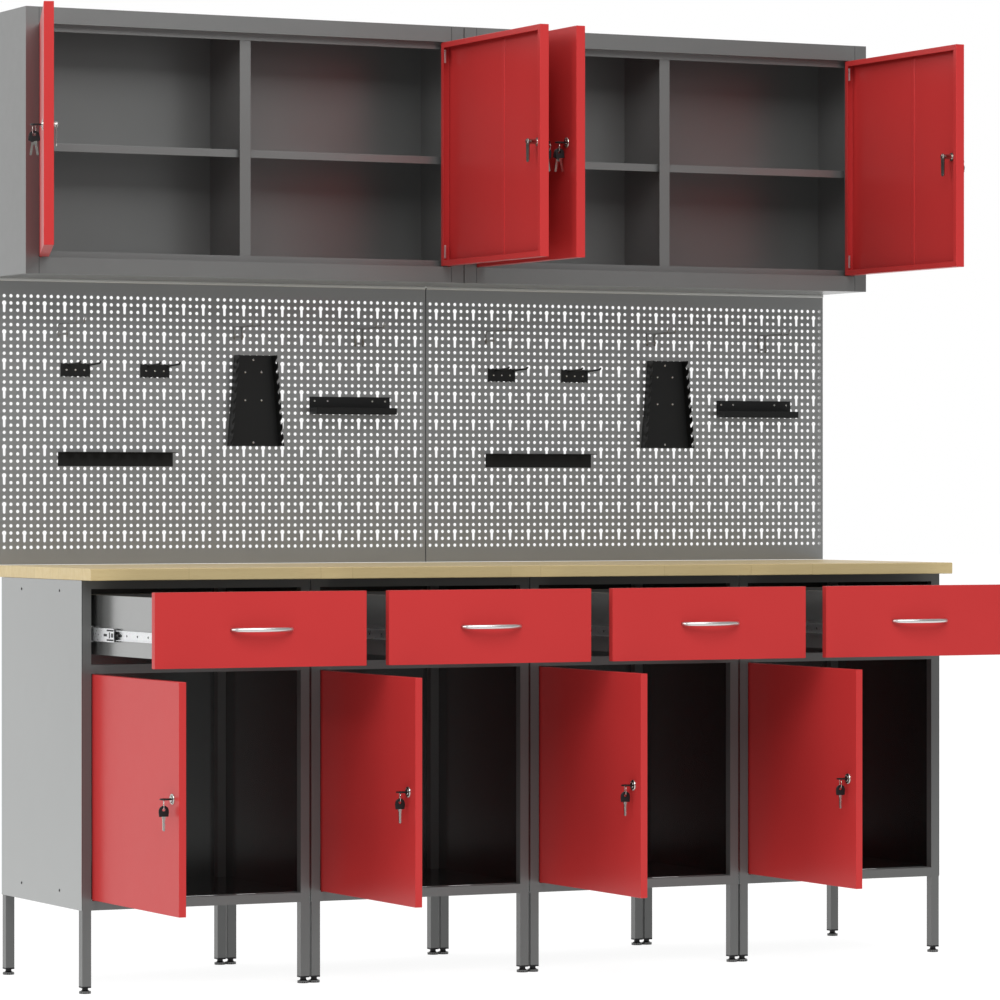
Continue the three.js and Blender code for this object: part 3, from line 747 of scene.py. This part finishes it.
for n in range(MODULES):
    outer, inner, clips, balls, holes = [bmesh.new() for _ in range(5)]
    for hand in (1, -1):
        channel(outer, n, hand, *OUTER_MEMBER)
        channel(inner, n, hand, *INNER_MEMBER)
        # painted shade: dark discs where the members' fixing holes are
        for y in HOLES_Y:
            turned(holes, HOLE_SHADE_DISC, at(mirrored(n, hand, 32.9), y, SLIDE_Z), (-hand, 0, 0), 14)
        for y in SCREWS_Y:
            screw_head(outer, at(mirrored(n, hand, 23.1), y, SLIDE_Z), (hand, 0, 0), 3, 1.2)
        slide_block(clips, n, hand, (26.4, 32.6), (CLIP_Y - 9, CLIP_Y + 9), (-8.4, 8.4), 1.5)
        for y in (CLIP_Y - 15, CLIP_Y + 15):
            slide_block(clips, n, hand, (28, 32.4), (y - 7, y + 7), (-3, 3), 1)
        for zs in ((-12.2, -10.2), (10.2, 12.2)):
            slide_block(balls, n, hand, (28.6, 30.9), (CAGE_Y + 4, CAGE_Y + 90), zs, 0.4)
        # the retainer of the balls shows on the outside of the middle member
        for y, z, long, tall in RETAINER:
            slide_block(balls, n, hand, (MIDDLE_WEB - 0.5, MIDDLE_WEB - 0.05),
                        (CAGE_Y + y, CAGE_Y + y + long), (z - tall / 2, z + tall / 2), 0.2, 1)
    piece(f"slide_fixing_hole_shades_{n + 1}", holes, SEAM_SHADOW, f"drawer_{n + 1}")
    piece(f"slide_fixed_members_{n + 1}", outer, ZINC, "bench")
    piece(f"slide_drawer_members_{n + 1}", inner, ZINC, f"drawer_{n + 1}")
    piece(f"slide_release_levers_{n + 1}", clips, BLACK_PLASTIC, f"drawer_{n + 1}")
    piece(f"slide_ball_cages_{n + 1}", balls, BLACK_PLASTIC, f"slides_{n + 1}")


# ---- locks ---------------------------------------------------------------------------------------
ROSETTE = [(7.2, -0.1), (10.4, -0.1), (10.8, 0.5), (10.3, 1.5), (9.4, 2.2), (8.3, 2.5), (7.2, 2.1)]
HEX_NUT = [(6.7, -1.6), (9.5, -1.6), (9.5, -4.6), (6.7, -4.6)]
KEY_FACE = 4.4                    # from the door's face to the near end of the key in the lock
RING_RADIUS = 10.6
RING_HANG = RING_RADIUS - 0.6     # from the ring's middle to the middle of a hole that hangs on it
RING_STEPS = 24
KEY_BOW = [(-9.5, 0), (-10.5, 8)] + arc((0, 11), 10.4, 170, 10, 10) + [(10.5, 8), (9.5, 0)]
KEY_BOW_MIDDLE = 9
KEY_BOW_HALF = 1.5                # half its thickness
KEY_HOLE_Y, KEY_HOLE_RADIUS = 13.4, 3.4
KEY_BLADE = 28
KEY_CUTS = (0.9, 1.8, 0.6, 1.5, 1.1)
KEY_CUT_PITCH = 3.6


def key_bow(mesh, origin, across, along, normal):
    """A plastic key head: flat at the blade, domed at the far end, with a hole for the ring."""
    hole = []
    for x, y in KEY_BOW:
        angle = math.atan2(y - KEY_HOLE_Y, x)
        hole.append((KEY_HOLE_RADIUS * math.cos(angle), KEY_HOLE_Y + KEY_HOLE_RADIUS * math.sin(angle)))
    shoulder = KEY_BOW_HALF - 0.7
    layers = [(KEY_BOW, -KEY_BOW_HALF, 0.92), (KEY_BOW, -shoulder, 1.0), (KEY_BOW, shoulder, 1.0),
              (KEY_BOW, KEY_BOW_HALF, 0.92), (hole, KEY_BOW_HALF, 1.0), (hole, -KEY_BOW_HALF, 1.0)]
    rings = []
    for outline, lift, size in layers:
        points = [(x * size, KEY_BOW_MIDDLE + (y - KEY_BOW_MIDDLE) * size) for x, y in outline]
        rings.append([mesh.verts.new(origin + (across * x + along * y + normal * lift) * MM)
                      for x, y in points])
    for first, second in zip(rings, rings[1:] + rings[:1]):
        bridge(mesh, first, second)


def key_blade(mesh, origin, across, along, normal):
    """A flat blade with a notched edge, from origin towards -along."""
    outline = [(-3.6, 1), (-3.6, -3), (-2.7, -4)]
    for cut, depth in enumerate(KEY_CUTS):
        y = -6 - cut * KEY_CUT_PITCH
        outline += [(-2.7, y), (-2.7 + depth, y - 1.2), (-2.7 + depth, y - 2.0), (-2.7, y - 3.0)]
    outline += [(-1.6, 0.8 - KEY_BLADE), (0, -KEY_BLADE), (2.2, 1.6 - KEY_BLADE), (2.7, -4),
                (3.6, -3), (3.6, 1)]
    prism(mesh, outline, origin - normal * 1.1 * MM, across, along, normal, 2.2)


def lock_axes(joint, hand):
    """A lock's middle on the door's face, and the ways to the door's free edge and into the case."""
    axis = Vector(JOINTS[joint]["axis"])
    # the cam turns from straight down to the free edge about the joint's axis
    return Vector(JOINTS[joint]["pos_m"]), axis.cross(-UP).normalized(), axis * -hand


def build_lock(name, door_body, lock, joint, hand, cam_depth, cam_length, keys):
    """A lock with its keys. lock names both the CAD node and the body that turns in the door."""
    centre, free, inward = lock_axes(joint, hand)
    out = -inward

    rosette = bmesh.new()
    turned_ring(rosette, ROSETTE, centre, out)
    turned_ring(rosette, HEX_NUT, centre, out, 6)
    piece(f"{name}_rosette", rosette, NICKEL, door_body)

    plug = bmesh.new()
    turned(plug, [(0, -cam_depth + 0.2), (6.0, -cam_depth + 0.2), (6.0, -cam_depth + 2.2),
                  (5.5, -cam_depth + 3.0), (5.5, -7), (6.0, -6), (6.0, 3.0), (5.2, 4.0), (0, 4.0)],
           centre, out)
    turned(plug, [(0, -cam_depth - 5.4), (2.6, -cam_depth - 5.4), (5.2, -cam_depth - 4.6),
                  (5.6, -cam_depth - 3.2), (5.6, -cam_depth - 2.4), (0, -cam_depth - 2.4)],
           centre, out, 6)
    cam_end = 5 - cam_length
    cam = arc((0, 0), 6.4, 0, 180, 10) + [(-5.4, cam_end)] \
        + arc((0, cam_end), 5.0, 190, 350, 8) + [(5.4, cam_end)]
    prism(plug, cam, centre + inward * cam_depth * MM, free, UP, inward, 2.4, 0.3)
    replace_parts(piece(f"{name}_cylinder_and_cam", plug, NICKEL, lock), lock)

    bow = bmesh.new()
    key_bow(bow, centre + out * KEY_FACE * MM, free, out, UP)
    piece(f"{name}_key_bow", bow, BLACK_PLASTIC, lock)

    # the ring hangs from the bow's hole, and the other keys hang from the ring
    ring_centre = centre + (out * (KEY_FACE + KEY_HOLE_Y) - UP * RING_HANG) * MM
    ring = bmesh.new()
    level = (free * 0.94 + out * 0.34).normalized()
    path = [ring_centre + (level * x + UP * z) * MM
            for x, z in oval(RING_RADIUS, RING_RADIUS, RING_STEPS)]
    swept(ring, path, round_section(0.7), [level.cross(UP)] * RING_STEPS, True)
    piece(f"{name}_key_ring", ring, NICKEL, door_body, True)

    # a hanging key's flat side faces along the door
    for label, shift, lean in keys:
        tilt = math.radians(lean)
        across = out * math.cos(tilt) - UP * math.sin(tilt)
        along = UP * math.cos(tilt) + out * math.sin(tilt)
        origin = ring_centre + (free * shift - UP * RING_HANG - along * KEY_HOLE_Y) * MM
        bow, blade = bmesh.new(), bmesh.new()
        key_bow(bow, origin, across, along, free)
        piece(f"{name}_{label}_key_bow", bow, BLACK_PLASTIC, door_body)
        key_blade(blade, origin, across, along, free)
        piece(f"{name}_{label}_key_blade", blade, NICKEL, door_body)


BENCH_CAM = (21.5, 45)            # depth of the cam behind the door's face, and its length
CABINET_CAM = (24.5, 43)
# keys on the ring: name, place along the door, and how many degrees the key leans
BENCH_KEYS = [("spare", 0, 0)]
CABINET_KEYS = [("spare", 2.2, 10), ("second", -2.2, -10)]
HANDS = (("left", 1), ("right", -1))
for n in range(1, MODULES + 1):
    build_lock(f"bench_lock_{n}", f"door_{n}", f"door_lock_{n}", f"door_lock_turn_{n}", 1,
               *BENCH_CAM, BENCH_KEYS)
for n in range(1, CABINETS + 1):
    for side, hand in HANDS:
        build_lock(f"upper_lock_{side}_{n}", f"cabinet_door_{side}_{n}", f"cabinet_lock_{side}_{n}",
                   f"cabinet_lock_turn_{side}_{n}", hand, *CABINET_CAM, CABINET_KEYS)


# ---- inside of the wall cabinets' doors ----------------------------------------------------------
DOOR_PIN = 3                      # hinge pin from the hinge edge and from the face
UPPER_DOOR_Z = (1482.5, 1959.5)
RIB_MIDDLE = 261.52               # of the stiffening rib, from the door's hinge edge
RIB = [(RIB_MIDDLE + x, y) for x, y in ((-7, 0), (7, 0), (4, 1.4), (-4, 1.4))]
RIB_INSET = 13                    # from the door's upper and lower edges
HINGE_HEIGHT = 28
HINGE_PLATE = [(12.4, 0), (16.2, 0), (16.2, HINGE_HEIGHT), (12.4, HINGE_HEIGHT)]
HINGE_INSET = 16                  # of a hinge plate, from the door's upper or lower edge
for n in range(1, CABINETS + 1):
    for side, hand in HANDS:
        _, along, inward = lock_axes(f"cabinet_lock_turn_{side}_{n}", hand)
        pin = Vector(JOINTS[f"cabinet_hinge_{side}_{n}"]["pos_m"])
        corner = pin - (along + inward) * DOOR_PIN * MM
        corner.z = 0
        rib, plates = bmesh.new(), bmesh.new()
        low, high = UPPER_DOOR_Z[0] + RIB_INSET, UPPER_DOOR_Z[1] - RIB_INSET
        prism(rib, RIB, corner + (inward * (SHEET + 0.15) + UP * low) * MM, along, inward, UP,
              high - low, 0.4)
        piece(f"upper_door_rib_{side}_{n}", rib, RED_PAINT, f"cabinet_door_{side}_{n}")
        for z in (UPPER_DOOR_Z[0] + HINGE_INSET, UPPER_DOOR_Z[1] - HINGE_INSET - HINGE_HEIGHT):
            prism(plates, HINGE_PLATE, corner + (inward * 15.5 + UP * z) * MM, along, UP, inward,
                  3.4, 0.5)
        piece(f"upper_hinge_plates_{side}_{n}", plates, ZINC, f"cabinet_door_{side}_{n}")


# ---- what hangs on the boards --------------------------------------------------------------------
BOARD_SKIN = BOARD_FRONT - 0.2    # face that small parts rest on
SCREW_SKIN = BOARD_SKIN - 1.4     # face of the racks that screws rest on
HOLDER_X = (184, 364)
HOLDER_Z = (1241, 1271)
HOLDER_HALF = 33
HOLDER_SCREWS = (-20, 0, 20)
PRONGS = (-15, 30)                # of a small holder, from its middle
PRONG_PATH = ((1.6, -5), (9, -4), (62, -2), (67, 1))    # out from the board, up from the holder's top
HOOKS = ((155, 1325, 100), (556, 1325, 95), (840, 1314, 105))   # X, lower end and reach of a wire hook
HOOK_TOP = 1352
HOOK_HALF = 9                     # half the distance between a hook's two wires
WIRE = 1.6
WRENCH_RACK_SCREWS = ((0, 10), (-19, 36), (19, 36), (-19, 96), (19, 96))   # from the top's middle
SHELF_SCREWS = (0.06, 0.22, 0.78, 0.94)    # shares of the tool shelf's length
FORWARD = (0, -1, 0)


def toothed(left, right, low, high, teeth, depth):
    """Outline of a small plate whose top and bottom edges are cut into teeth."""
    step = (right - left) / teeth
    below = [(left + k * step / 2, low + (depth if k % 2 else 0)) for k in range(2 * teeth + 1)]
    above = [(x, high - (z - low)) for x, z in below[::-1]]
    return below + above


for index in range(CABINETS):
    left = index * CABINET_WIDTH
    holders, wires, screws, hem = [bmesh.new() for _ in range(4)]
    for x in HOLDER_X:
        outline = toothed(left + x - HOLDER_HALF, left + x + HOLDER_HALF, *HOLDER_Z, 6, 2.2)
        prism(holders, outline, at(0, BOARD_SKIN, 0), (1, 0, 0), UP, FORWARD, 1.8, 0.3)
        for prong in PRONGS:
            path = [at(left + x + prong, BOARD_SKIN - reach, HOLDER_Z[1] + rise)
                    for reach, rise in PRONG_PATH]
            swept(holders, path, round_section(2.2))
        for across in HOLDER_SCREWS:
            place = at(left + x + across, BOARD_SKIN - 1.8, sum(HOLDER_Z) / 2)
            screw_head(screws, place, FORWARD, 2.2, 1)
    for x, low, reach in HOOKS:
        middle = left + x
        bend = arc((-6, HOOK_TOP - 6), 6, 0, 90, 5)
        points = [(-WIRE, low)] + [(dy - WIRE, z) for dy, z in bend]
        points += [(-reach, HOOK_TOP), (-reach - 8, HOOK_TOP + 14)]
        for gap in (-HOOK_HALF, HOOK_HALF):
            path = [at(middle + gap, BOARD_SKIN + dy, z) for dy, z in points]
            swept(wires, path, round_section(WIRE), [(1, 0, 0)] * len(path))
        soft_block(wires, at(middle - 12, BOARD_SKIN - 2.4, low + 4),
                   at(middle + 12, BOARD_SKIN, low + 9), 0.6)
    rack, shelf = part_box(f"wrench_rack_{index + 1}"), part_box(f"tool_shelf_{index + 1}")
    middle = (rack[0].x + rack[1].x) / 2
    places = [(middle + dx * MM, rack[1].z - dz * MM) for dx, dz in WRENCH_RACK_SCREWS]
    places.append((middle, rack[0].z + 8 * MM))
    places += [(shelf[0].x + (shelf[1].x - shelf[0].x) * share, shelf[1].z - 9 * MM)
               for share in SHELF_SCREWS]
    for x, z in places:
        screw_head(screws, Vector((x, at(0, SCREW_SKIN, 0).y, z)), FORWARD, 2.4, 1)
    # the hem bead, in the lighter paint that is its painted highlight
    soft_block(hem, at(left + 1.5, BOARD_FRONT - 3.4, BOARD_Z[1] - 4.6),
               at(left + CABINET_WIDTH - 1.5, BOARD_FRONT - 0.1, BOARD_Z[1] + 1.7), 1.4, 3)
    piece(f"small_holders_{index + 1}", holders, BLACK_PAINT, "bench")
    piece(f"wire_hooks_{index + 1}", wires, HOOK_WIRE, "bench", True)
    piece(f"rack_screws_{index + 1}", screws, NICKEL, "bench")
    piece(f"board_hem_{index + 1}", hem, HEM_HIGHLIGHT_PAINT, "bench")


# ---- seams and fixings of the sheet metal --------------------------------------------------------
CABINET_FRONT = 310
SEAM_X = (30, 970)                # joints between the stiles and rails of a wall cabinet's face
SEAM_Z = ((1448, 1480), (1962, 1994))
RIVET = [(0, 0.05), (3.0, 0.05), (2.6, 0.6), (1.2, 0.9), (0, 0.9)]
RIVETS = ((121, 801), (334, 801), (121, 198), (334, 198))     # Y and Z on each end of the bench
for index in range(CABINETS):
    seams = bmesh.new()
    for x in SEAM_X:
        for low, high in SEAM_Z:
            middle = index * CABINET_WIDTH + x
            # a thin near-black strip on the face, painted as the shadow in the seam
            soft_block(seams, at(middle - 0.5, CABINET_FRONT - 0.25, low),
                       at(middle + 0.5, CABINET_FRONT - 0.05, high), 0.05, 1)
    piece(f"cabinet_seam_shadows_{index + 1}", seams, SEAM_SHADOW, "bench")
rivets = bmesh.new()
for x, way in ((SIDE_PLAY, -1), (MODULES * MODULE_WIDTH - SIDE_PLAY, 1)):
    for y, z in RIVETS:
        turned(rivets, RIVET, at(x, y, z), (way, 0, 0), 14)
piece("side_panel_rivets", rivets, SEAM_SHADOW, "bench")


# ---- stage ---------------------------------------------------------------------------------------
FLOOR_HALF = 60                   # metres
FLOOR_GREY = 0.22
FLOOR_GLOW = (0.25, 0.9)          # of the floor in front and at the back
FLOOR_FADE = (-5.5, -1.0)         # Y between which the glow rises, in metres

floor_mesh = bpy.data.meshes.new("floor")
floor_corners = ((-1, -1), (1, -1), (1, 1), (-1, 1))
floor_mesh.from_pydata([(x * FLOOR_HALF, y * FLOOR_HALF, 0) for x, y in floor_corners], [],
                       [(0, 1, 2, 3)])
floor = bpy.data.objects.new("floor", floor_mesh)
bpy.context.scene.collection.objects.link(floor)
floor_look = Look("floor_paint", (FLOOR_GREY,) * 3, 0.7, Specular_IOR_Level=0.0,
                  Emission_Color=(1, 1, 1, 1))
floor_look.set(floor_look.shader, "Emission Strength",
               floor_look.spread(floor_look.axes()[1], *FLOOR_GLOW, *FLOOR_FADE))
floor_mesh.materials.append(floor_look.material)
floor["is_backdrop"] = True

# The studio is white behind the bench and dim in front of it, so that the fronts keep their own
# colour while the side panels mirror the white.
STUDIO_DIM = 0.30
studio = bpy.data.worlds.new("studio")
bpy.context.scene.world = studio
studio.use_nodes = True
tree = studio.node_tree
direction = tree.nodes.new("ShaderNodeTexCoord")
split = tree.nodes.new("ShaderNodeSeparateXYZ")
fade = tree.nodes.new("ShaderNodeMapRange")
fade.interpolation_type = "SMOOTHSTEP"
for socket, value in (("From Min", -0.3), ("From Max", 0.3), ("To Min", STUDIO_DIM), ("To Max", 1.0)):
    fade.inputs[socket].default_value = value
tree.links.new(direction.outputs["Generated"], split.inputs[0])
tree.links.new(split.outputs[1], fade.inputs["Value"])
tree.links.new(fade.outputs[0], tree.nodes["Background"].inputs["Color"])
bpy.context.scene.view_settings.view_transform = "Standard"


def soft_light(name, place, target, size, power):
    light = bpy.data.objects.new(name, bpy.data.lights.new(name, "AREA"))
    light.data.shape = "RECTANGLE"
    light.data.size, light.data.size_y = size
    light.data.energy = power
    light.location = place
    light.rotation_euler = (Vector(target) - Vector(place)).to_track_quat("-Z", "Y").to_euler()
    bpy.context.scene.collection.objects.link(light)


soft_light("key_light", (-0.8, -5.2, 5.6), (0, 0.2, 1.1), (7, 4.5), 415)
soft_light("side_light", (-12, -2.8, 5.5), (0, 0.1, 1.1), (5, 4), 430)

low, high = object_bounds()
